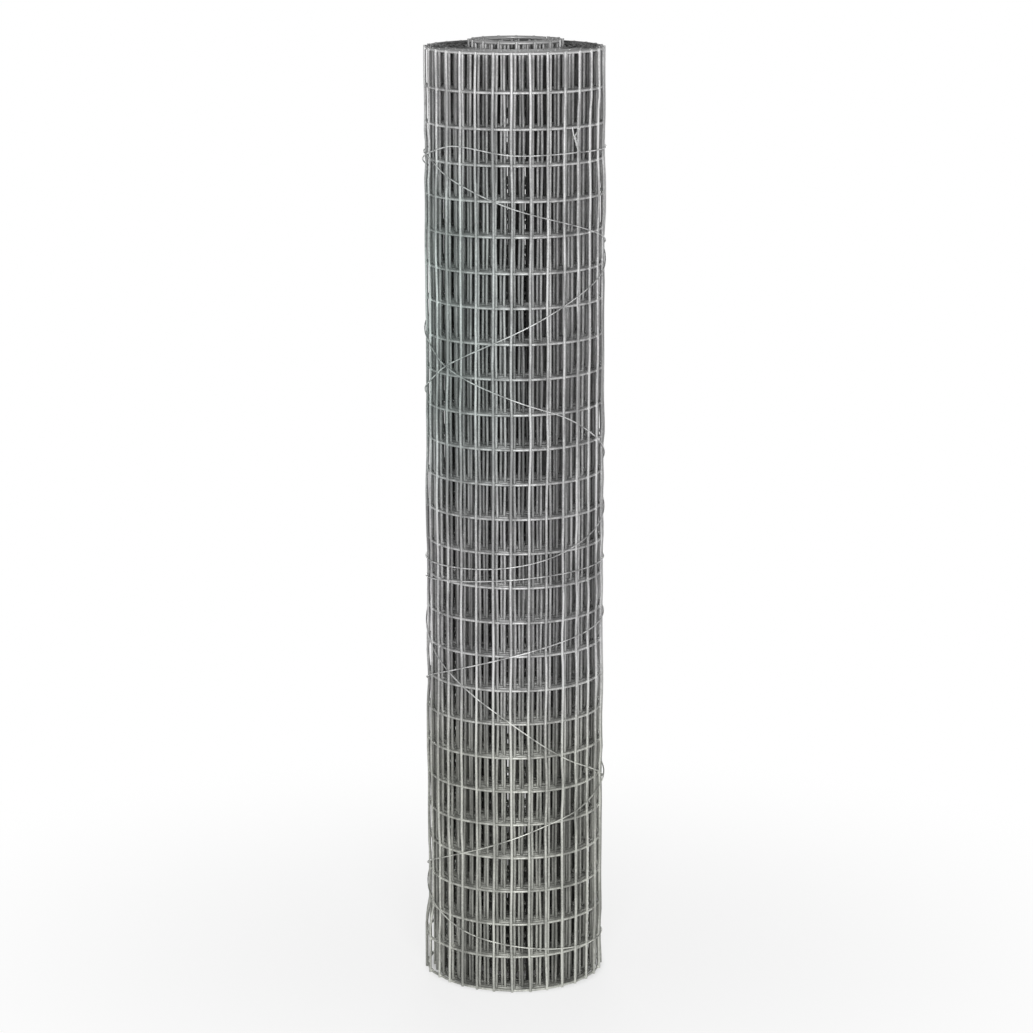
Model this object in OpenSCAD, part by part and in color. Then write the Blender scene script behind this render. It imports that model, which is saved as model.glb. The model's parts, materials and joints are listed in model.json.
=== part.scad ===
// Roll of welded wire mesh fencing, standing on its end and lashed shut with one binding wire.
// Millimetres. The axis of the roll is Z, its lower end rests on Z = 0 and its front faces -Y.

/* [Mesh] */
// Rows of openings across the sheet, counted up the standing roll
rows = 27; // [8:1:60]
// Spacing of the line wires, which run round the roll
cell_h = 25.4; // [12:0.1:60]
// Diameter of the mesh wire
wire_d = 1.6; // [0.8:0.1:3]

/* [Roll] */
// Turns in the roll
turns = 13; // [6:1:24]
// Air between one turn and the next
turn_gap = 0.3; // [0.2:0.1:2]
// Diameter of the bore inside the first turn
bore_d = 39; // [20:1:120]
// Turns at the core that have slid up out of the rest
core_turns = 4; // [1:1:5]
// Distance that the core turns have slid up
core_rise = 5; // [1:0.5:20]
// Depth to which the gaps between the turns are open at each end
end_depth = 8; // [2:0.5:30]

/* [Binding wire] */
// Diameter of the binding wire
tie_d = 0.9; // [0.6:0.1:2]
// Clearance between the binding wire and what it lies on
tie_clear = 0.1; // [0.05:0.05:0.3]
// Height of the twisted tail that closes the binding wire
tail_h = 12; // [6:0.5:25]
// Angle by which the tail leans back along the wire
tail_lean = 22; // [0:1:40]
// Lead of one twist in the tail
tail_lead = 4.4; // [3:0.1:10]
// Length of the longer cut end, which is bent forwards at the top of the tail
end_long = 7.5; // [3:0.5:15]
// Length of the shorter cut end
end_short = 6.5; // [1:0.5:10]

/* [Hidden] */

// The sheet is two wires thick, a line wire with a stay welded across its outer side.
sheet_t = 2 * wire_d;
sheet_h = rows * cell_h + wire_d;
bore_r = bore_d / 2;
outer_r = turn_r(turns - 1) + sheet_t;
turned_fn = 180;

// The binding wire is wound down the roll and back up as the roll spins one way, so its lays cross.
// Each station is [turns from the front, share of the sheet's height].
lash = [
    [1.12, 0.897], [1.79, 0.890], [1.88, 0.869], [2, 0.841], [2.13, 0.819], [2.79, 0.698], [2.86, 0.675],
    [3, 0.643], [3.12, 0.615], [3.86, 0.350], [3.96, 0.312], [4.12, 0.248], [4.87, 0.070], [5, 0.052],
    [5.17, 0.041], [5.4, 0.044], [5.94, 0.159], [6.06, 0.185], [6.12, 0.195], [6.9, 0.354], [7.11, 0.386],
    [7.84, 0.444], [8.12, 0.458], [8.84, 0.461], [9.09, 0.480], [9.79, 0.649], [9.88, 0.679], [10, 0.713],
    [10.16, 0.758], [10.86, 0.901], [11, 0.896], [11.12, 0.897]
];
// The wire starts back up at its lowest station.
low_share = min([for (station = lash) station[1]]);
low_turn = [for (station = lash) if (station[1] == low_share) station[0]][0];
tie_sides = 6;
tie_step = 12;
lay_r = (outer_r + tie_clear + tie_d / 2) / cos(tie_step / 2);
// A rising lay humps over each falling one, by a wire and the sag of one straight step.
hump = tie_d + tie_clear + lay_r * (1 - cos(tie_step / 2));
hump_flat = 10;
hump_reach = 30;

// The ends meet in a twisted tail.
knot_turn = lash[0][0];
knot_z = lash[0][1] * sheet_h;
strand_r = (tie_d + tie_clear) / 2;
tail_r = lay_r + strand_r;
tail_step = 45;
tail_rise = tail_lead * tail_step / 360;
tail_steps = floor((tail_h - tie_d) / tail_rise);
long_side = cos(tail_steps * tail_step) < 0 ? -1 : 1;
long_angle = 43;
short_angle = -16;

function turn_r(i) = bore_r + i * (sheet_t + turn_gap);
function turn_lift(i) = i < core_turns ? core_rise : 0;

// Half-section of one end, from the bore outwards: each turn is a flat ridge and each gap a groove.
function end_line(base, depth_sign) = [
    for (i = [0:turns - 1]) each concat(
        [[turn_r(i), base + turn_lift(i)], [turn_r(i) + sheet_t, base + turn_lift(i)]],
        i == turns - 1 ? [] : let (floor_z = base + groove_lift(i, depth_sign) + depth_sign * end_depth)
            [[turn_r(i) + sheet_t, floor_z], [turn_r(i + 1), floor_z]]
    )
];
function groove_lift(i, depth_sign) = depth_sign < 0 ? turn_lift(i + 1) : turn_lift(i);
function backwards(points) = [for (i = [len(points) - 1:-1:0]) points[i]];

// Height of the binding wire at a count of turns, on a smooth curve through the stations.
function lash_index(t, i = 0) = i >= len(lash) - 2 || t < lash[i + 1][0] ? i : lash_index(t, i + 1);
function lash_slope(i) = let (a = lash[max(i - 1, 0)], b = lash[min(i + 1, len(lash) - 1)])
    (b[1] - a[1]) / (b[0] - a[0]);
function lash_share(t) = let (
        i = lash_index(t), a = lash[i], b = lash[i + 1], span = b[0] - a[0], u = (t - a[0]) / span
    ) a[1] * (2 * pow(u, 3) - 3 * u * u + 1) + b[1] * (3 * u * u - 2 * pow(u, 3))
    + span * (lash_slope(i) * (pow(u, 3) - 2 * u * u + u) + lash_slope(i + 1) * (pow(u, 3) - u * u));
function eased(u) = let (v = min(max(u, 0), 1)) v * v * (3 - 2 * v);

function around(t) = [sin(360 * t), -cos(360 * t), 0];
function along(t) = [cos(360 * t), sin(360 * t), 0];
function unit(v) = v / norm(v);

// Height between a rising lay and the nearest falling lay at the same side of the roll.
function lay_gap(t) = min(concat([hump_reach], [
    for (n = [1:floor(t)]) let (u = t - n)
        if (t > low_turn && u > knot_turn && u < low_turn) abs(lash_share(t) - lash_share(u)) * sheet_h
]));
function lash_point(t) =
    (lay_r + hump * eased((hump_reach - lay_gap(t)) / (hump_reach - hump_flat))) * around(t)
    + [0, 0, lash_share(t) * sheet_h];

// One strand of the tail, from its cut end down to the knot; side is 1 or -1.
function tail_point(side, rise) = let (turn = 360 * rise / tail_lead)
    (tail_r + strand_r * side * sin(turn)) * around(knot_turn)
    + (strand_r * side * cos(turn) - rise * tan(tail_lean)) * along(knot_turn)
    + [0, 0, knot_z + tie_d + rise];
function cut_end(side) = let (
        length = side == long_side ? end_long : end_short,
        angle = side == long_side ? long_angle : short_angle
    ) tail_point(side, tail_steps * tail_rise) + length * (sin(angle) * along(knot_turn) + [0, 0, cos(angle)]);
function tail_strand(side) = concat(
    [cut_end(side)], [for (k = [tail_steps:-1:0]) tail_point(side, k * tail_rise)]
);

// The lays stop short of the knot by the length of the bend into the tail.
bend = 2.5 * tie_d / (2 * PI * lay_r);
lash_start = lash[0][0] + bend;
lash_end = lash[len(lash) - 1][0] - bend;
lash_rings = ceil((lash_end - lash_start) * 360 / tie_step);
lays = [for (k = [0:lash_rings]) lash_point(lash_start + (lash_end - lash_start) * k / lash_rings)];
tie_path = concat(tail_strand(1), lays, backwards(tail_strand(-1)));

// Ring of a tube at one point of its path, turned so that its first corner looks away from the axis.
function tube_ring(path, k, d, sides) = let (
        ahead = path[min(k + 1, len(path) - 1)], behind = path[max(k - 1, 0)],
        t = unit(ahead - behind), out = unit([path[k][0], path[k][1], 0]),
        n = unit(out - (out * t) * t), b = cross(t, n)
    ) [for (j = [0:sides - 1]) path[k] + d / 2 * (cos(360 * j / sides) * n + sin(360 * j / sides) * b)];

module tube(path, d, sides) {
    last = len(path) - 1;
    points = [for (k = [0:last]) each tube_ring(path, k, d, sides)];
    walls = [
        for (k = [0:last - 1], j = [0:sides - 1]) let (
            a = k * sides + j, b = k * sides + (j + 1) % sides, c = b + sides, e = a + sides
        ) each [[a, b, c], [a, c, e]]
    ];
    caps = [[for (j = [sides - 1:-1:0]) j], [for (j = [0:sides - 1]) last * sides + j]];
    polyhedron(points, concat(walls, caps));
}

// The wound sheet: turned about its axis, with its bore and the edges of its turns on both ends.
module mesh_roll() {
    color([0.62, 0.63, 0.63])
        rotate_extrude($fn = turned_fn)
            polygon(concat(end_line(sheet_h, -1), backwards(end_line(0, 1))));
}

// The lashing: down the roll, back up over itself, and twisted into a tail where its ends meet.
module binding_wire() {
    color([0.75, 0.76, 0.76]) tube(tie_path, tie_d, tie_sides);
}

mesh_roll();
binding_wire();
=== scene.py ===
"""Roll of galvanised welded wire fencing, standing on its end and lashed with a thin binding wire."""
import json
import math

import bpy
import numpy as np
from bpy.props import FloatProperty, FloatVectorProperty, IntProperty, PointerProperty
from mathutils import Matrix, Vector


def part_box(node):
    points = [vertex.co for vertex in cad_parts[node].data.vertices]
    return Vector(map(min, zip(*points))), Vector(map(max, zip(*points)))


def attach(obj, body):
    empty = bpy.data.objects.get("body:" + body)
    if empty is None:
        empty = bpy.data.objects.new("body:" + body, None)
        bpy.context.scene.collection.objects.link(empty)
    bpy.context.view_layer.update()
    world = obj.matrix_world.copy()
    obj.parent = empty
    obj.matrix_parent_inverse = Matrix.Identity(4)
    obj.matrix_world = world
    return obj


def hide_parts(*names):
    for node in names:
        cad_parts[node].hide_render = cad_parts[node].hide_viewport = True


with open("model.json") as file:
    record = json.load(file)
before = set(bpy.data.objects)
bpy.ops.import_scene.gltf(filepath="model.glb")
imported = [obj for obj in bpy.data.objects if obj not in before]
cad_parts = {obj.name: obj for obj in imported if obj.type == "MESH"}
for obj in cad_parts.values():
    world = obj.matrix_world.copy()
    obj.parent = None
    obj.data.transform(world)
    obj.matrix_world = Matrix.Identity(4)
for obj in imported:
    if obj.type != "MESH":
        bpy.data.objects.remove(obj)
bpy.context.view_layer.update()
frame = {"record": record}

bl_info = {
    "name": "Roll of Wire Fencing",
    "version": (1, 0, 0),
    "blender": (4, 5, 0),
    "location": "3D View > Sidebar > Wire Roll",
    "description": "Winds a sheet of welded wire mesh into a roll and lashes it with a binding wire",
    "category": "Add Mesh",
}

MM = 0.001
TURN = 2 * math.pi
UPRIGHT = np.array([0.0, 0.0, 1.0])
ROLL_LOW, ROLL_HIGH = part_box("mesh_roll")
BORE = next(mount for mount in frame["record"]["mounts"] if mount["name"] == "bore")

# Route of the binding wire: turns from the front, and share of the sheet's height.
LASH = (
    (1.12, 0.897), (1.79, 0.890), (1.88, 0.869), (2.00, 0.841), (2.13, 0.819), (2.79, 0.698),
    (2.86, 0.675), (3.00, 0.643), (3.12, 0.615), (3.86, 0.350), (3.96, 0.312), (4.12, 0.248),
    (4.87, 0.070), (5.00, 0.052), (5.17, 0.041), (5.40, 0.044), (5.94, 0.159), (6.06, 0.185),
    (6.12, 0.195), (6.90, 0.354), (7.11, 0.386), (7.84, 0.444), (8.12, 0.458), (8.84, 0.461),
    (9.09, 0.480), (9.79, 0.649), (9.88, 0.679), (10.00, 0.713), (10.16, 0.758), (10.86, 0.901),
    (11.00, 0.896), (11.12, 0.897),
)
LAY_STEP = 1 / 90
TWIST_STEPS = 16
BEND_WIRES = 2.5
CUT_STEPS = 4

# Depth in the sheet at which its length is measured, in wires.
MEASURED_DEPTH = 0.65
# Turns under the outermost one in which the slip of the inner turns grows to its full share.
SLIP_TURNS = 3

# Shortest and longest waves in which the sheet is uneven, in metres.
SWAY_WAVES = (0.2, 0.9)
DROOP_WAVES = (0.15, 0.6)
BUCKLE_WAVES = (0.12, 0.5)
KINK_WAVES = (0.03, 0.10)
BULGE_WAVES = (0.03, 0.15)

# Creases that are sharper than this stay sharp.
SMOOTH_ANGLE = math.radians(70)

# Where the finish changes: heights up the roll, in metres.
DUSTY_BELOW = (0.16, 0.26)
# Heights of the band over the middle where the zinc is tinted darker.
MIDDLE_FROM = (0.22, 0.34)
MIDDLE_TO = (0.54, 0.64)
BLOOM_FROM = (0.32, 0.46)
BLOOM_TO = (0.54, 0.66)
# Height at which the upper end starts: painted light on its near part, painted shade on its far part.
UPPER_END = (0.681, 0.686)
# Where the finish changes: places to the right of the axis, and behind it, where the far part of the
# upper end gets painted shade.
BLOOM_SIDE = (-0.05, 0.03)
SHADED_FAR_SIDE = (-0.040, -0.010)
# Where the finish changes: distances from the axis. Past the core's edge, each band is where a painted
# shade fades out.
CORE_EDGE = (0.034, 0.037)
HOLLOW_SHADE_EDGE = (0.0570, 0.0605)
UNDER_STAYS_SHADE = (0.0612, 0.0632)
DEEP_STAYS_SHADE = (0.046, 0.055)
UNDER_LINES_SHADE = (0.0595, 0.0617)

# Values of the noise between which zinc turns dull, and between which the painted shade on inner wires
# grows from its least share to full.
DULL_NOISE = (0.40, 0.60)
SHADE_NOISE = (0.42, 0.58)
LEAST_SHADE = 0.35
ROUGH_SPREAD = 0.14

# The stage, in metres. The floor is dark under the roll and turns white away from it.
LAMPS = {
    "left_lamp": (-0.25, -2.5, 0.95),
    "right_lamp": (0.45, -2.5, 0.9),
    "back_left_lamp": (-0.3, 2.6, 0.42),
    "back_right_lamp": (0.3, 2.6, 0.42),
}
FLOOR_SIZE = 60
FLOOR_EDGE = (0.055, 0.070)
FLOOR_FADE = (0.06, 0.6)
FLOOR_NEAR_WHITE = 0.75
WALL_TOP = (0.1, 0.35)
CEILING_LIGHT = 0.25
SENSOR_WIDTH = 36


def length(name, description, default):
    """A property for a size in metres."""
    return FloatProperty(
        name=name, description=description, default=default, min=0.0, precision=5, unit="LENGTH"
    )


def share(name, description, default):
    """A property for a share from nothing to the whole."""
    return FloatProperty(
        name=name, description=description, default=default, min=0.0, max=1.0, subtype="FACTOR"
    )


def angle(name, description, degrees):
    """A property for an angle, which Blender keeps in radians."""
    return FloatProperty(
        name=name, description=description, default=math.radians(degrees), subtype="ANGLE"
    )


def count(name, description, default):
    """A property for a number of like things."""
    return IntProperty(name=name, description=description, default=default, min=0)


def colour(name, description, default):
    """A property for a linear colour."""
    return FloatVectorProperty(
        name=name, description=description, default=default, size=3, min=0.0, max=1.0, subtype="COLOR"
    )


class ROLL_PG_sheet(bpy.types.PropertyGroup):
    """The welded sheet and how it is wound."""

    rows: count("Rows", "Rows of openings up the roll", 27)
    turns: count("Turns", "Turns in the roll", 13)
    outer_turns: count("Outer turns", "Outer turns that are modelled finely", 4)
    wire_d: length("Wire", "Diameter of the bare mesh wire", 1.6 * MM)
    zinc_t: length("Zinc", "Thickness of the zinc on the mesh wire", 0.18 * MM)
    cell_w: length("Stay spacing", "Spacing of the stays along the sheet", 12.7 * MM)
    set_down: share("Set-down", "Share of a wire by which a stay is welded into a line wire", 0.25)
    core_turns: count("Core turns", "Turns at the core that have slid up", 4)
    core_rise: length("Core rise", "Distance that the core turns have slid up", 5.0 * MM)
    slide: length("Slide", "Most that any other turn has slid up", 1.0 * MM)
    slip: length("Slip", "Most that an inner turn has slipped up between its ends", 4.0 * MM)
    seam: share("Seam", "Share of a turn in which the outer turns step up onto the turn below", 0.13)
    seam_angle: angle("Seam angle", "Angle from the front to the end of the seam", 196)
    front_stay: angle("Front stay", "Angle from the front to the foremost stay", -2)
    stub: length("Stub", "Line wire left beyond the last stay", 2.5 * MM)
    stay_error: length("Stay error", "Most that a stay is welded off its place", 0.2 * MM)
    row_error: length("Row error", "Most that a line wire is welded off its place", 0.3 * MM)
    top_row: length("Top row", "Extra height of the top row of openings", 1.7 * MM)
    sway: length("Sway", "Most that the mesh is pulled sideways", 0.8 * MM)
    kink: length("Kink", "Most that a stay is bent between two line wires", 0.9 * MM)
    droop: length("Droop", "Most that the mesh is pulled up or down", 0.5 * MM)
    buckle: length("Buckle", "Most that an inner turn bulges in or out", 0.15 * MM)
    bulge: length(
        "Bulge", "Most that the outermost turn stands out between the binding wire's lays", 1.0 * MM
    )
    flare: length(
        "Flare", "Most that the foot of the outermost turn stands out on one side", 2.8 * MM
    )
    flare_h: length(
        "Flare height", "Height to which the foot of the outermost turn stands out", 50 * MM
    )
    flare_angle: angle("Flare angle", "Angle from the front to the middle of the flare", 266)
    held: length(
        "Held", "Distance from the binding wire in which it holds the outermost turn down", 6 * MM
    )
    weld_w: length("Weld width", "Width of the zinc round a weld", 2.8 * MM)
    weld_t: length("Weld thickness", "Thickness of the zinc round a weld", 2.0 * MM)
    seed: count("Seed", "Seed of the small errors", 1094)


class ROLL_PG_lashing(bpy.types.PropertyGroup):
    """The binding wire."""

    tie_d: length("Wire", "Diameter of the binding wire", 0.9 * MM)
    clear: length("Clearance", "Clearance under the wire and between its lays", 0.1 * MM)
    hump_flat: length(
        "Hump flat", "Height between two lays at which one is fully over the other", 3 * MM
    )
    hump_reach: length("Hump reach", "Height between two lays at which the hump starts", 14 * MM)
    tail_h: length("Tail", "Height of the twisted tail", 12 * MM)
    tail_lean: angle("Tail lean", "Angle by which the tail leans back along the wire", 22)
    tail_lead: length("Tail lead", "Lead of one twist in the tail", 4.4 * MM)
    end_long: length("Long end", "Length of the longer cut end", 7.5 * MM)
    end_short: length("Short end", "Length of the shorter cut end", 6.5 * MM)
    long_angle: angle("Long end angle", "Angle from upright of the longer cut end", 43)
    short_angle: angle("Short end angle", "Angle from upright of the shorter cut end", -16)


class ROLL_PG_finish(bpy.types.PropertyGroup):
    """Colours and gloss of the zinc coating, and the colour of the floor."""

    fresh: colour("Fresh zinc", "Colour of the zinc where it is still bright", (0.56, 0.56, 0.56))
    dull: colour("Dull zinc", "Colour of the zinc where it has dulled", (0.30, 0.30, 0.30))
    binding: colour(
        "Binding wire", "Colour of the binding wire where it is still bright", (0.72, 0.72, 0.72)
    )
    # Painted shade: tints for the wires inside the roll, where shade falls between the turns.
    under_stays_shade: share("Stays under", "Tint of the stays under the outermost turn", 0.50)
    deep_stays_shade: share("Stays deep in", "Further tint of the stays deep between the turns", 0.10)
    under_lines_shade: share("Line wires under", "Tint of the line wires under the outermost turn", 0.42)
    # Painted light on the core and the near part of the upper end.
    near_end_light: share("Near end", "Share by which the near part of the upper end is bright", 0.8)
    # Painted shade on the far part of the upper end, outside the core.
    hollow_shade: share("Hollow end", "Tint of the far part of the upper end, outside the core", 0.5)
    # A tint that makes the middle of the roll darker.
    middle_tint: share("Worn zinc", "Tint of the zinc over the middle of the roll", 0.90)
    dusty: colour("Dusty zinc", "Tint of the zinc near the foot of the roll", (0.985, 1.0, 0.92))
    bloom: colour("Bloom", "Tint of the zinc where it has a faint green bloom", (0.90, 1.0, 0.965))
    metallic: share("Metallic", "How metallic the zinc looks", 0.45)
    stay_rough: share("Stay roughness", "Roughness of the stays", 0.62)
    line_rough: share("Line wire roughness", "Roughness of the line wires", 0.54)
    binding_rough: share("Binding wire roughness", "Roughness of the binding wire", 0.5)
    floor: colour("Floor", "Colour of the floor", (0.92, 0.92, 0.92))


class ROLL_PG_stage(bpy.types.PropertyGroup):
    """Camera and light."""

    distance: length("Distance", "Distance of the camera in front of the axis", 2.4337)
    height: length("Height", "Height of the camera above the floor", 0.875)
    aside: length("Aside", "Distance of the camera to the right of the axis", 1.2 * MM)
    pitch: angle("Pitch", "Angle by which the camera looks down", 12.299)
    lens: FloatProperty(name="Lens", description="Focal length", default=118.4, unit="CAMERA")
    lamp_size: length("Lamp size", "Side of each square lamp", 0.6)
    lamp_power: FloatProperty(
        name="Lamp power", description="Power of each lamp", default=26.5, unit="POWER"
    )


def eased(u):
    """Smooth step from 0 to 1."""
    u = np.clip(u, 0.0, 1.0)
    return u * u * (3.0 - 2.0 * u)


def around(turn):
    """Unit vector from the axis, at an angle in turns from the front."""
    a = TURN * np.asarray(turn, float)
    return np.stack([np.sin(a), -np.cos(a), np.zeros_like(a)], -1)


def along(turn):
    """Unit vector round the roll, square to the one from the axis."""
    a = TURN * np.asarray(turn, float)
    return np.stack([np.cos(a), np.sin(a), np.zeros_like(a)], -1)


def turns_apart(a, b):
    """Signed angle from one side of the roll to another, the short way round, in turns."""
    return (a - b + 0.5) % 1 - 0.5


class Lashing:
    """The binding wire's centreline. Turns are counted along the wire, from the front."""

    def __init__(self, lashing, height):
        self.lashing = lashing
        self.height = height
        self.turns, self.shares = np.array(LASH).T
        stations = np.arange(len(LASH))
        before, after = np.maximum(stations - 1, 0), np.minimum(stations + 1, len(LASH) - 1)
        climb = self.shares[after] - self.shares[before]
        self.slopes = climb / (self.turns[after] - self.turns[before])
        self.knot_turn = self.turns[0]
        self.low_turn = self.turns[np.argmin(self.shares)]
        self.lay_r = ROLL_HIGH.x + lashing.clear + lashing.tie_d / 2
        self.strand_r = (lashing.tie_d + lashing.clear) / 2

    def rise(self, turn):
        """Height of the wire, on a smooth curve through the stations."""
        i = np.clip(np.searchsorted(self.turns, turn, side="right") - 1, 0, len(LASH) - 2)
        span = self.turns[i + 1] - self.turns[i]
        u = (turn - self.turns[i]) / span
        ends = self.shares[i] * (2 * u**3 - 3 * u**2 + 1) + self.shares[i + 1] * (3 * u**2 - 2 * u**3)
        bend = self.slopes[i] * (u**3 - 2 * u**2 + u) + self.slopes[i + 1] * (u**3 - u**2)
        return (ends + span * bend) * self.height

    def gap(self, turn, height):
        """Distance up or down the roll to the nearest lay, or to the tail."""
        gap = np.full(turn.shape, self.height)
        for lap in range(int(self.turns[0]), int(self.turns[-1]) + 1):
            laid = (turn + lap >= self.turns[0]) & (turn + lap <= self.turns[-1])
            gap = np.where(laid, np.minimum(gap, np.abs(height - self.rise(turn + lap))), gap)
        reach = self.lashing.tail_h + self.lashing.end_long
        aside = np.abs(turns_apart(turn, self.knot_turn)) * TURN * self.lay_r
        above = height - self.rise(self.knot_turn)
        beyond = np.maximum(np.maximum(aside - reach, above - reach), -above)
        return np.minimum(gap, np.maximum(beyond, 0))

    def lays(self):
        """The wire from knot to knot. A rising lay humps over each falling one that it crosses."""
        lashing = self.lashing
        bend = BEND_WIRES * lashing.tie_d / (TURN * self.lay_r)
        first, last = self.turns[0] + bend, self.turns[-1] - bend
        turn = np.linspace(first, last, int((last - first) / LAY_STEP) + 1)
        height = self.rise(turn)
        gap = np.full(len(turn), lashing.hump_reach)
        for back in range(1, int(last) + 1):
            under = turn - back
            crosses = (turn > self.low_turn) & (under > self.knot_turn) & (under < self.low_turn)
            gap = np.where(crosses, np.minimum(gap, np.abs(height - self.rise(under))), gap)
        over = eased((lashing.hump_reach - gap) / (lashing.hump_reach - lashing.hump_flat))
        points = (self.lay_r + over * (lashing.tie_d + lashing.clear))[:, None] * around(turn)
        points[:, 2] = height
        return points

    def strand(self, side):
        """One strand of the tail, which ends on an eighth of a twist, from the knot to its cut end."""
        lashing = self.lashing
        out, ahead = around(self.knot_turn), along(self.knot_turn)
        eighths = int((lashing.tail_h - lashing.tie_d) / lashing.tail_lead * 8)
        rise = np.linspace(0, eighths / 8 * lashing.tail_lead, eighths * TWIST_STEPS // 8 + 1)
        twist = TURN * rise / lashing.tail_lead
        sideways = self.strand_r * side * np.cos(twist) - rise * math.tan(lashing.tail_lean)
        points = (self.lay_r + self.strand_r * (1 + side * np.sin(twist)))[:, None] * out
        points += sideways[:, None] * ahead
        points[:, 2] = self.rise(self.knot_turn) + lashing.tie_d + rise
        is_long = side == (-1 if math.cos(TURN * eighths / 8) < 0 else 1)
        reach = lashing.end_long if is_long else lashing.end_short
        lean = lashing.long_angle if is_long else lashing.short_angle
        way = math.sin(lean) * ahead + math.cos(lean) * UPRIGHT
        cut = points[-1] + np.linspace(1 / CUT_STEPS, 1, CUT_STEPS)[:, None] * reach * way
        return np.concatenate([points, cut])

    def path(self):
        """The whole wire, from one cut end to the other."""
        return np.concatenate([self.strand(1)[::-1], self.lays(), self.strand(-1)])


class Ripple:
    """A smooth random field over the sheet, between -1 and 1."""

    def __init__(self, rng, short_wave, long_wave, waves=7):
        self.across = rng.uniform(-1, 1, waves) / rng.uniform(short_wave, long_wave, waves)
        self.up = rng.uniform(-1, 1, waves) / rng.uniform(short_wave, long_wave, waves)
        self.phase = rng.uniform(0, 1, waves)

    def __call__(self, run, height):
        waves = zip(self.across, self.up, self.phase)
        total = sum(np.sin(TURN * (a * run + b * height + c)) for a, b, c in waves)
        return total / len(self.phase)


class WoundSheet:
    """Where a point of the flat sheet lies once it is wound.

    Turns are counted from the sheet's inner end, and a run is a length along the flat sheet.
    """

    def __init__(self, sheet, lashing):
        rng = np.random.default_rng(sheet.seed)
        self.sheet = sheet
        self.lashing = lashing
        self.height = lashing.height
        self.last_turn = sheet.turns - 1
        self.bore_r = BORE["dims"]["r_mm"] * MM
        thick = 2 * sheet.wire_d
        self.pitch = (ROLL_HIGH.x - thick - self.bore_r) / self.last_turn
        self.wire_r = sheet.wire_d / 2 + sheet.zinc_t
        self.stay_depth = thick - self.wire_r
        self.line_depth = self.stay_depth - 2 * self.wire_r * (1 - sheet.set_down)
        self.slides = rng.uniform(0, 1, sheet.turns + 1) * sheet.slide
        self.slides[-2:] = 0
        self.sway = Ripple(rng, *SWAY_WAVES)
        self.droop = Ripple(rng, *DROOP_WAVES)
        self.buckle = Ripple(rng, *BUCKLE_WAVES)
        self.lay_out()
        self.place_stays(rng)
        self.place_rows(rng)
        self.kink = Ripple(rng, *KINK_WAVES)
        self.bulges = Ripple(rng, *BULGE_WAVES)
        deep = np.minimum((self.last_turn - np.arange(sheet.turns)) / SLIP_TURNS, 1)
        self.slips = rng.uniform(0, 1, sheet.turns) * deep * sheet.slip

    def lay_out(self):
        """Length along the sheet at each count of turns."""
        steps_per_turn = 1000
        last = self.sheet.turns - self.sheet.seam
        self.turn_list = np.linspace(0, last, int(last * steps_per_turn))
        r = self.radius(self.turn_list) + self.sheet.wire_d * MEASURED_DEPTH
        arc = TURN * (r[1:] + r[:-1]) / 2 * np.diff(self.turn_list)
        self.run_list = np.concatenate([[0.0], np.cumsum(np.hypot(np.diff(r), arc))])
        self.run_end = self.run_list[-1]

    def place_stays(self, rng):
        """Stays at even steps along the sheet, turned so that the foremost one is at its angle."""
        sheet = self.sheet
        stays = int((self.run_end - 2 * sheet.stub) / sheet.cell_w) + 1
        even = sheet.stub + np.arange(stays) * sheet.cell_w
        self.stay_runs = even + rng.uniform(-1, 1, stays) * sheet.stay_error
        self.start = sheet.seam_angle / TURN
        turn = self.turn_at(even)
        off = turns_apart(turn[turn > self.last_turn] + self.start, sheet.front_stay / TURN)
        self.start -= off[np.argmin(np.abs(off))]

    def place_rows(self, rng):
        """Heights of the line wires. The two edge wires lie true."""
        sheet = self.sheet
        top = self.height - self.wire_r
        even = np.linspace(self.wire_r, top - sheet.top_row, sheet.rows + 1)
        even[-1] = top
        errors = rng.uniform(-1, 1, sheet.rows + 1) * sheet.row_error
        errors[[0, -1]] = 0
        self.row_heights = even + errors

    def radius(self, w):
        """Inner face of the sheet: a plain spiral at the core, stepped round turns at the outside."""
        turn = np.minimum(np.floor(w), self.last_turn)
        part = w - turn
        stepped = eased((part - 1 + self.sheet.seam) / self.sheet.seam)
        roundness = turn / self.last_turn
        wound = turn + (1 - roundness) * part + roundness * stepped
        return self.bore_r + self.pitch * wound

    def lift(self, w):
        """Distance that the sheet has slid up the roll."""
        half = 0.25
        core = self.sheet.core_rise * (1 - eased((w - self.sheet.core_turns + half) / (2 * half)))
        others = np.interp(w, np.arange(len(self.slides)) + 0.5, self.slides)
        return np.maximum(core, others)

    def turn_at(self, run):
        """Count of turns at a length along the sheet."""
        return np.interp(run, self.run_list, self.turn_list)

    def run_at(self, turn):
        """Length along the sheet at a count of turns."""
        return float(np.interp(turn, self.turn_list, self.run_list))

    def outer_run(self):
        """Length along the sheet at which its outer turns start."""
        return self.run_at(self.sheet.turns - self.sheet.outer_turns)

    def place(self, run, depth, height):
        """Points of the wound sheet, and the outward direction at each."""
        run, depth, height = np.broadcast_arrays(run, depth, height)
        bent = self.sheet.sway * self.sway(run, height) + self.sheet.kink * self.kink(run, height)
        w = self.turn_at(run + bent)
        buckle = self.sheet.buckle * self.buckle(run, height)
        outermost = np.minimum(buckle, 0) + self.bulge(run, w, height)
        out = around(w + self.start)
        pushed = np.where(w > self.last_turn, outermost, buckle)
        points = (self.radius(w) + depth + pushed)[..., None] * out
        inside = np.sin(math.pi * np.clip(height / self.height, 0, 1))
        slip = np.interp(w, np.arange(self.sheet.turns), self.slips)
        pulled = slip + self.sheet.droop * self.droop(run, height)
        points[..., 2] = height + self.lift(w) + inside * pulled
        return points, out

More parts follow.
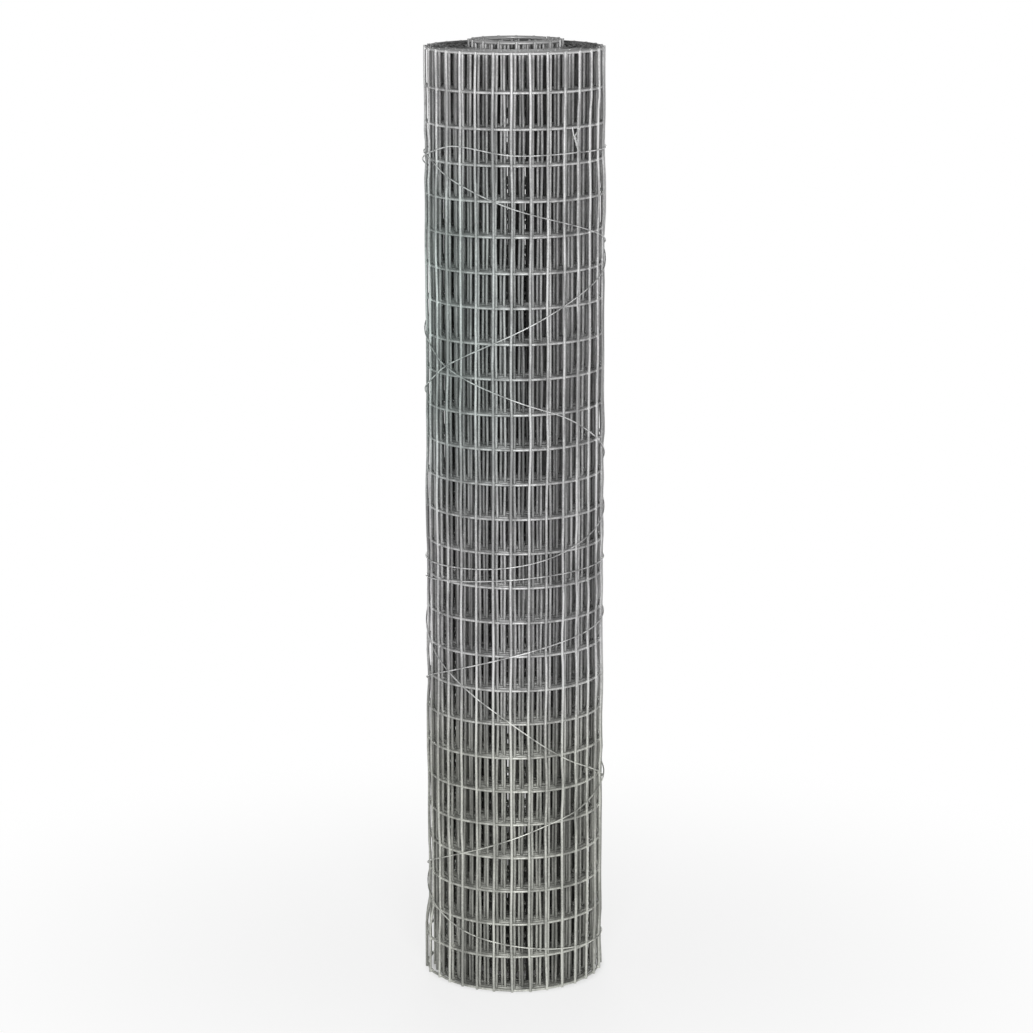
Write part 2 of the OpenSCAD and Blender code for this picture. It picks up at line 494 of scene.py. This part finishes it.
    def bulge(self, run, w, height):
        """Distance that the loose outermost turn stands out away from the binding wire."""
        held = self.sheet.held
        gap = self.lashing.gap((w + self.start) % 1, height)
        free = eased((gap - held) / (2 * held)) * eased((w - self.last_turn) / self.sheet.seam)
        bulge = self.sheet.bulge * eased(0.5 + self.bulges(run, height))
        return free * np.maximum(bulge, self.flare(w, height))

    def flare(self, w, height):
        """Distance that the foot of the outermost turn stands out on one side."""
        sheet = self.sheet
        reach_turns, ease = 0.12, 0.25
        aside = np.abs(turns_apart(w + self.start, sheet.flare_angle / TURN))
        low = eased((sheet.flare_h - height) / (sheet.flare_h * ease))
        return sheet.flare * low * eased(2 - 2 * aside / reach_turns)


def strips(wires, rings, sides):
    """Places on a flat map for the faces of many wires: a strip for each wire, and its caps below."""
    foot, margin, cap_size = 0.03, 0.06, 0.4
    strip = (1 - foot) / wires
    lane = np.arange(wires)[:, None, None, None]
    ring = np.arange(rings - 1)[None, :, None, None] + np.array([0, 0, 1, 1])
    side = np.arange(sides)[None, None, :, None] + np.array([0, 1, 1, 0])
    rows = foot + strip * (lane + margin / 2 + (1 - margin) * side / sides)
    walls = np.stack(np.broadcast_arrays(ring / (rings - 1), rows), -1).reshape(-1, 2)
    a = TURN * np.arange(sides) / sides
    ends = 2 * wires
    disc = cap_size * min(foot, 1 / ends) * np.stack([np.cos(a), np.sin(a)], -1)
    middles = np.stack([(np.arange(ends) + 0.5) / ends, np.full(ends, foot / 2)], -1)
    caps = (middles[:, None] + disc).reshape(-1, 2)
    return np.concatenate([walls, caps])


def sweep(paths, outward, radius, sides):
    """Closed round wires along paths of like count: points, faces and the faces' places on a map."""
    wires, rings = paths.shape[:2]
    ahead = np.gradient(paths, axis=1)
    ahead /= np.linalg.norm(ahead, axis=-1, keepdims=True)
    normal = outward - np.sum(outward * ahead, -1, keepdims=True) * ahead
    normal /= np.linalg.norm(normal, axis=-1, keepdims=True)
    beside = np.cross(ahead, normal)
    a = (TURN * np.arange(sides) / sides)[:, None]
    section = np.cos(a) * normal[:, :, None] + np.sin(a) * beside[:, :, None]
    points = (paths[:, :, None] + radius * section).reshape(-1, 3)
    first = np.arange(wires * rings).reshape(wires, rings)[:, :-1, None] * sides
    here = first + np.arange(sides)
    there = first + (np.arange(sides) + 1) % sides
    walls = np.stack([here, there, there + sides, here + sides], -1).reshape(-1, 4)
    start = (np.arange(wires) * rings * sides)[:, None] + np.arange(sides)
    end = start + (rings - 1) * sides
    faces = walls.tolist() + start[:, ::-1].tolist() + end.tolist()
    return points, faces, strips(wires, rings, sides)


def beads(centres, outward, width, thickness):
    """Closed beads, each with its thin axis outward: points, faces and the faces' places on a map."""
    sides, bands, total = 8, 4, len(centres)
    a = TURN * np.arange(sides) / sides
    down = math.pi * np.arange(1, bands) / bands
    beside = np.cross(UPRIGHT, outward)
    flat = np.cos(a)[:, None] * beside[:, None] + np.sin(a)[:, None] * UPRIGHT
    belts = np.sin(down)[None, :, None, None] * flat[:, None] * width / 2
    belts = belts + np.cos(down)[None, :, None, None] * outward[:, None, None] * thickness / 2
    poles = np.stack([outward, -outward], 1) * thickness / 2
    points = np.concatenate([belts.reshape(total, -1, 3), poles], 1) + centres[:, None]
    belt = np.arange(sides * (bands - 1)).reshape(bands - 1, sides)
    ahead = np.roll(belt, -1, axis=1)
    top, foot = sides * (bands - 1), sides * (bands - 1) + 1
    walls = np.stack([belt[:-1], belt[1:], ahead[1:], ahead[:-1]], -1).reshape(-1, 4)
    lids = np.stack([np.full(sides, top), belt[0], ahead[0]], -1)
    floors = np.stack([np.full(sides, foot), ahead[-1], belt[-1]], -1)
    first = (np.arange(total) * points.shape[1])[:, None, None]
    faces = []
    for part in (walls, lids, floors):
        faces += (first + part).reshape(-1, part.shape[1]).tolist()
    return points.reshape(-1, 3), faces, squares(total, sides, bands)


def squares(total, sides, bands):
    """Places on a flat map for the faces of many beads: a square for each bead."""
    margin = 0.05
    side, band = np.meshgrid(np.arange(sides), np.arange(1, bands - 1))
    corners = [[side, band], [side, band + 1], [side + 1, band + 1], [side + 1, band]]
    walls = np.stack(corners, -1).reshape(2, -1, 4).transpose(1, 2, 0)
    s, one = np.arange(sides), np.ones(sides)
    low = (bands - 1) * one
    lids = np.stack([[s + 0.5, 0 * one], [s, one], [s + 1, one]], -1).transpose(1, 2, 0)
    floors = np.stack([[s + 0.5, bands * one], [s + 1, low], [s, low]], -1).transpose(1, 2, 0)
    across = math.ceil(math.sqrt(total))
    corner = np.stack(np.divmod(np.arange(total), across), -1)[:, None, None]
    places = [
        ((corner + margin + (1 - 2 * margin) * part / (sides, bands)) / across).reshape(-1, 2)
        for part in (walls, lids, floors)
    ]
    return np.concatenate(places)


def piece(name, shape, material, node):
    """A finished mesh that rides on the roll and stands for one of its nodes."""
    points, faces, places = shape
    mesh = bpy.data.meshes.new(name)
    mesh.from_pydata(points.tolist(), [], faces)
    layer = mesh.uv_layers.new(name="OFBake")
    layer.uv.foreach_set("vector", places.astype(np.float32).ravel())
    mesh.materials.append(material)
    made = bpy.data.objects.new(name, mesh)
    bpy.context.scene.collection.objects.link(made)
    bpy.ops.object.select_all(action="DESELECT")
    made.select_set(True)
    bpy.context.view_layer.objects.active = made
    bpy.ops.object.shade_smooth_by_angle(angle=SMOOTH_ANGLE)
    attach(made, "root")
    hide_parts(node)


class Field:
    """A socket that takes part in shader maths."""

    def __init__(self, nodes, socket):
        self.nodes = nodes
        self.socket = socket

    def maths(self, operation, first, second):
        return self.nodes.node("ShaderNodeMath", {"operation": operation}, {0: first, 1: second})

    def __add__(self, other):
        return self.maths("ADD", self, other)

    def __radd__(self, other):
        return self.maths("ADD", other, self)

    def __mul__(self, other):
        return self.maths("MULTIPLY", self, other)

    def __rmul__(self, other):
        return self.maths("MULTIPLY", other, self)

    def __sub__(self, other):
        return self.maths("SUBTRACT", self, other)

    def __rsub__(self, other):
        return self.maths("SUBTRACT", other, self)


class Nodes:
    """A node tree that is written as expressions."""

    def __init__(self, owner):
        owner.use_nodes = True
        self.tree = owner.node_tree
        self.tree.nodes.clear()

    def node(self, kind, settings=None, inputs=None, output=0):
        """Adds a node, sets it, feeds it and gives one of its outputs."""
        made = self.tree.nodes.new(kind)
        for name, value in (settings or {}).items():
            setattr(made, name, value)
        for key, value in (inputs or {}).items():
            if isinstance(value, Field):
                self.tree.links.new(value.socket, made.inputs[key])
            else:
                made.inputs[key].default_value = value
        return Field(self, made.outputs[output]) if made.outputs else None

    def vectors(self, operation, *inputs, output=0):
        """Maths on vectors."""
        settings = {"operation": operation}
        return self.node("ShaderNodeVectorMath", settings, dict(enumerate(inputs)), output)

    def place(self):
        """Place on the object, in metres."""
        return self.node("ShaderNodeTexCoord", output="Object")

    def along(self, axis):
        """Place on the object along one axis, in metres."""
        return self.node("ShaderNodeSeparateXYZ", inputs={0: self.place()}, output=axis)

    def from_axis(self):
        """Distance from the upright axis, in metres."""
        level = self.vectors("MULTIPLY", self.place(), (1, 1, 0))
        return self.vectors("LENGTH", level, output="Value")

    def noise(self, per_metre, detail, roughness=0.5, squeeze=1.0, shift=0.0):
        """Noise from 0 to 1 over the object. A squeeze of less than 1 draws it out upwards."""
        where = self.vectors("MULTIPLY_ADD", self.place(), (1.0, 1.0, squeeze), (0.0, 0.0, shift))
        return self.node(
            "ShaderNodeTexNoise",
            {"noise_dimensions": "3D"},
            {"Vector": where, "Scale": per_metre, "Detail": detail, "Roughness": roughness},
        )

    def ramp(self, value, low, high, to_low=0.0, to_high=1.0):
        """Smooth change from one value to another as a value goes from low to high."""
        return self.node(
            "ShaderNodeMapRange",
            {"clamp": True, "interpolation_type": "SMOOTHSTEP"},
            {"Value": value, "From Min": low, "From Max": high, "To Min": to_low, "To Max": to_high},
        )

    def fade(self, value, low, high):
        """Smooth change from 1 to 0 as a value goes from low to high."""
        return self.ramp(value, low, high, 1.0, 0.0)

    def mix(self, factor, first, second, blend="MIX"):
        """Mix of two colours."""
        def paint(value):
            return value if isinstance(value, Field) else (*value, 1.0)

        return self.node(
            "ShaderNodeMix",
            {"data_type": "RGBA", "blend_type": blend},
            {"Factor": factor, 6: paint(first), 7: paint(second)},
            output=2,
        )

    def tint(self, factor, shade, stain):
        """A colour that is multiplied by a second one, by a share. A number stands for a grey."""
        second = (stain, stain, stain) if isinstance(stain, float) else stain
        return self.mix(factor, shade, second, "MULTIPLY")


def zinc_coat(name, finish, fresh, roughness, painted_shades=()):
    """Zinc on steel wire, dulled in streaks and clouds, with fine crystals and lumps.

    It has painted light on the core and on the near part of the upper end, and painted shade on the
    far part of it; it is faintly green on one side, darker over the middle and dusty at the foot. Each
    painted shade is a tint for the inside of the roll, where shade falls between the turns, laid on in
    patches, and the distances from the axis between which it fades out.
    """
    known = bpy.data.materials.get(name)
    if known:
        return known
    material = bpy.data.materials.new(name)
    nodes = Nodes(material)
    side, back, up = nodes.along("X"), nodes.along("Y"), nodes.along("Z")
    out = nodes.from_axis()
    clouds = nodes.noise(60.0, 3.0, 0.6)
    streaks = nodes.noise(130.0, 2.0, 0.6, squeeze=0.08)
    crystals = nodes.noise(700.0, 2.0)
    lumps = nodes.noise(1600.0, 3.0, 0.7)
    columns = nodes.noise(75.0, 1.0, squeeze=0.04, shift=2.0)
    dulled = nodes.ramp(clouds * 0.25 + streaks * 0.55 + crystals * 0.2, *DULL_NOISE)
    # Painted light on the core and the near part of the upper end, painted shade on its far part.
    upper_end = nodes.ramp(up, *UPPER_END)
    shaded_far_end = upper_end * nodes.ramp(out, *CORE_EDGE) * nodes.ramp(back, *SHADED_FAR_SIDE)
    near_end_light = (upper_end - shaded_far_end) * finish.near_end_light
    shade = nodes.mix(dulled, fresh, finish.dull)
    shade = nodes.mix(near_end_light, shade, fresh)
    # Painted shade inside the roll, laid on in patches and fading out towards the outermost turn.
    shade_patches = nodes.ramp(columns, *SHADE_NOISE, LEAST_SHADE, 1.0)
    for tint, band in painted_shades:
        inside = nodes.fade(out, *band) * (1.0 - near_end_light) * shade_patches
        shade = nodes.tint(inside, shade, tint)
    # Painted shade on the far part of the upper end.
    hollow_shade = shaded_far_end * nodes.fade(out, *HOLLOW_SHADE_EDGE)
    shade = nodes.tint(hollow_shade, shade, finish.hollow_shade)
    bloomed = nodes.ramp(up, *BLOOM_FROM) * nodes.fade(up, *BLOOM_TO) * nodes.fade(side, *BLOOM_SIDE)
    shade = nodes.tint(bloomed, shade, finish.bloom)
    # Darker over the middle of the roll.
    middle_tint = nodes.ramp(up, *MIDDLE_FROM) * nodes.fade(up, *MIDDLE_TO)
    shade = nodes.tint(middle_tint, shade, finish.middle_tint)
    dusty = nodes.fade(up, *DUSTY_BELOW)
    shade = nodes.tint(dusty, shade, finish.dusty)
    bump = nodes.node(
        "ShaderNodeBump",
        inputs={"Height": lumps + crystals * 0.6, "Strength": 0.3, "Distance": 0.3 * MM},
    )
    shader = nodes.node(
        "ShaderNodeBsdfPrincipled",
        inputs={
            "Base Color": shade,
            "Metallic": finish.metallic,
            "Roughness": dulled * ROUGH_SPREAD + (roughness - ROUGH_SPREAD / 2),
            "Normal": bump,
        },
    )
    nodes.node("ShaderNodeOutputMaterial", inputs={"Surface": shader})
    return material


def stay_coat(context):
    """The coat of the stays, with painted shade that makes them dark deep in the roll."""
    finish = context.scene.roll_finish
    painted_shades = ((finish.under_stays_shade, UNDER_STAYS_SHADE), (finish.deep_stays_shade, DEEP_STAYS_SHADE))
    return zinc_coat("galvanised_stay", finish, finish.fresh, finish.stay_rough, painted_shades)


def line_coat(context):
    """The coat of the line wires and welds, whose painted shade inside the roll is lighter than the
    stays'.
    """
    finish = context.scene.roll_finish
    painted_shades = ((finish.under_lines_shade, UNDER_LINES_SHADE),)
    return zinc_coat("galvanised_line_wire", finish, finish.fresh, finish.line_rough, painted_shades)


def binding_coat(context):
    """The coat of the binding wire."""
    finish = context.scene.roll_finish
    return zinc_coat("galvanised_binding_wire", finish, finish.binding, finish.binding_rough)


def lashed(context):
    """The binding wire on the sheet, which is lower than the roll by the rise of its core."""
    height = ROLL_HIGH.z - ROLL_LOW.z - context.scene.roll_sheet.core_rise
    return Lashing(context.scene.roll_lashing, height)


def wound_sheet(context):
    """The sheet, wound and held shut by its binding wire."""
    return WoundSheet(context.scene.roll_sheet, lashed(context))


class ROLL_OT_line_wires(bpy.types.Operator):
    """Wind the line wires, which run round the roll: outer turns finer than inner ones"""

    bl_idname = "roll.line_wires"
    bl_label = "Line Wires"

    def execute(self, context):
        sheet = context.scene.roll_sheet
        wound = wound_sheet(context)
        split = wound.outer_run()
        for part, start, end, sides, per_cell in (
            ("inner", 0.0, split, 6, 2),
            ("outer", split, wound.run_end, 8, 3),
        ):
            steps = int((end - start) / sheet.cell_w * per_cell)
            run = np.linspace(start, end, steps + 1)
            paths, outward = wound.place(run, wound.line_depth, wound.row_heights[:, None])
            shape = sweep(paths, outward, wound.wire_r, sides)
            piece(f"line_wires_{part}", shape, line_coat(context), "mesh_roll")
        return {"FINISHED"}


class ROLL_OT_stays(bpy.types.Operator):
    """Weld the stays, which run up the roll, across the outer side of the line wires"""

    bl_idname = "roll.stays"
    bl_label = "Stays"

    def execute(self, context):
        sheet = context.scene.roll_sheet
        wound = wound_sheet(context)
        outer = wound.stay_runs > wound.outer_run()
        for part, runs, sides, per_row in (
            ("inner", wound.stay_runs[~outer], 6, 1),
            ("outer", wound.stay_runs[outer], 8, 3),
        ):
            heights = np.linspace(0, wound.height, sheet.rows * per_row + 1)
            paths, outward = wound.place(runs[:, None], wound.stay_depth, heights)
            shape = sweep(paths, outward, wound.wire_r, sides)
            piece(f"stays_{part}", shape, stay_coat(context), "mesh_roll")
        return {"FINISHED"}


class ROLL_OT_welds(bpy.types.Operator):
    """Run zinc round the welds of the outer turns"""

    bl_idname = "roll.welds"
    bl_label = "Welds"

    def execute(self, context):
        sheet = context.scene.roll_sheet
        wound = wound_sheet(context)
        runs = wound.stay_runs[wound.stay_runs > wound.outer_run()]
        depth = (wound.stay_depth + wound.line_depth) / 2
        heights = np.clip(wound.row_heights, sheet.weld_w / 2, wound.height - sheet.weld_w / 2)
        centres, outward = wound.place(runs[:, None], depth, heights)
        shape = beads(centres.reshape(-1, 3), outward.reshape(-1, 3), sheet.weld_w, sheet.weld_t)
        piece("weld_zinc", shape, line_coat(context), "mesh_roll")
        return {"FINISHED"}


class ROLL_OT_binding_wire(bpy.types.Operator):
    """Lash the roll with one binding wire, down it and back up, and twist its ends into a tail"""

    bl_idname = "roll.binding_wire"
    bl_label = "Binding Wire"

    def execute(self, context):
        path = lashed(context).path()
        outward = path * (1 - UPRIGHT)
        outward /= np.linalg.norm(outward, axis=-1, keepdims=True)
        radius = context.scene.roll_lashing.tie_d / 2
        shape = sweep(path[None], outward[None], radius, sides=8)
        piece("binding_wire_lay", shape, binding_coat(context), "binding_wire")
        return {"FINISHED"}


class ROLL_OT_stage(bpy.types.Operator):
    """Set the floor, the lamps, the studio and the camera"""

    bl_idname = "roll.stage"
    bl_label = "Stage"

    def execute(self, context):
        stage = context.scene.roll_stage
        bpy.ops.object.select_all(action="DESELECT")
        bpy.ops.mesh.primitive_plane_add(size=FLOOR_SIZE)
        floor = context.object
        floor.name = "floor"
        floor.data.materials.append(self.floor_paint(context.scene.roll_finish.floor))
        for name, place in LAMPS.items():
            self.lamp(name, place, stage)
        self.studio(context.scene)
        bpy.ops.object.camera_add(
            location=(stage.aside, -stage.distance, stage.height),
            rotation=(math.pi / 2 - stage.pitch, 0, 0),
        )
        camera = context.object
        camera.name = "camera"
        camera.data.sensor_width = SENSOR_WIDTH
        camera.data.lens = stage.lens
        context.scene.camera = camera
        context.scene.view_settings.view_transform = "Standard"
        return {"FINISHED"}

    def lamp(self, name, place, stage):
        """A soft square lamp that faces the middle of the roll."""
        bpy.ops.object.light_add(type="AREA", location=place)
        lamp = bpy.context.object
        lamp.name = name
        middle = (ROLL_LOW + ROLL_HIGH) / 2
        lamp.rotation_euler = (middle - lamp.location).to_track_quat("-Z", "Y").to_euler()
        lamp.data.size = stage.lamp_size
        lamp.data.energy = stage.lamp_power

    def floor_paint(self, shade):
        """Pale paint that keeps the roll's shadow, and is plain white further off."""
        material = bpy.data.materials.new("pale_floor")
        nodes = Nodes(material)
        away = nodes.from_axis()
        seen = (
            nodes.node("ShaderNodeLightPath", output="Is Camera Ray")
            + nodes.node("ShaderNodeLightPath", output="Is Glossy Ray")
            + nodes.node("ShaderNodeLightPath", output="Is Transmission Ray")
        )
        paint = nodes.node("ShaderNodeBsdfDiffuse", inputs={"Color": (*shade, 1.0)})
        white = nodes.node("ShaderNodeEmission", inputs={"Color": (1, 1, 1, 1), "Strength": 1.0})
        far = nodes.ramp(away, *FLOOR_FADE, FLOOR_NEAR_WHITE, 1.0) * nodes.ramp(away, *FLOOR_EDGE)
        mixed = nodes.node("ShaderNodeMixShader", inputs={0: far * seen, 1: paint, 2: white})
        nodes.node("ShaderNodeOutputMaterial", inputs={"Surface": mixed})
        return material

    def studio(self, scene):
        """White walls all round, and a dim ceiling."""
        scene.world = bpy.data.worlds.new("studio")
        nodes = Nodes(scene.world)
        way = nodes.node("ShaderNodeTexCoord", output="Generated")
        up = nodes.node("ShaderNodeSeparateXYZ", inputs={0: way}, output="Z")
        strength = nodes.ramp(up, *WALL_TOP, 1.0, CEILING_LIGHT)
        light = nodes.node(
            "ShaderNodeBackground", inputs={"Color": (1, 1, 1, 1), "Strength": strength}
        )
        nodes.node("ShaderNodeOutputWorld", inputs={"Surface": light})


class ROLL_PT_panel(bpy.types.Panel):
    """Lists the steps that make the roll, and their settings"""

    bl_idname = "ROLL_PT_panel"
    bl_label = "Wire Roll"
    bl_space_type = "VIEW_3D"
    bl_region_type = "UI"
    bl_category = "Wire Roll"

    def draw(self, context):
        for step in STEPS:
            self.layout.operator(step.bl_idname)
        for name in GROUPS:
            box = self.layout.box()
            settings = getattr(context.scene, name)
            for key in settings.__annotations__:
                box.prop(settings, key)


GROUPS = {
    "roll_sheet": ROLL_PG_sheet,
    "roll_lashing": ROLL_PG_lashing,
    "roll_finish": ROLL_PG_finish,
    "roll_stage": ROLL_PG_stage,
}
STEPS = (ROLL_OT_line_wires, ROLL_OT_stays, ROLL_OT_welds, ROLL_OT_binding_wire, ROLL_OT_stage)
CLASSES = (*GROUPS.values(), *STEPS, ROLL_PT_panel)


def register():
    for made in CLASSES:
        bpy.utils.register_class(made)
    for name, group in GROUPS.items():
        setattr(bpy.types.Scene, name, PointerProperty(type=group))


def unregister():
    for name in GROUPS:
        delattr(bpy.types.Scene, name)
    for made in reversed(CLASSES):
        bpy.utils.unregister_class(made)


def main():
    register()
    bpy.ops.roll.line_wires()
    bpy.ops.roll.stays()
    bpy.ops.roll.welds()
    bpy.ops.roll.binding_wire()
    bpy.ops.roll.stage()
    bpy.context.view_layer.update()


if __name__ == "__main__":
    main()
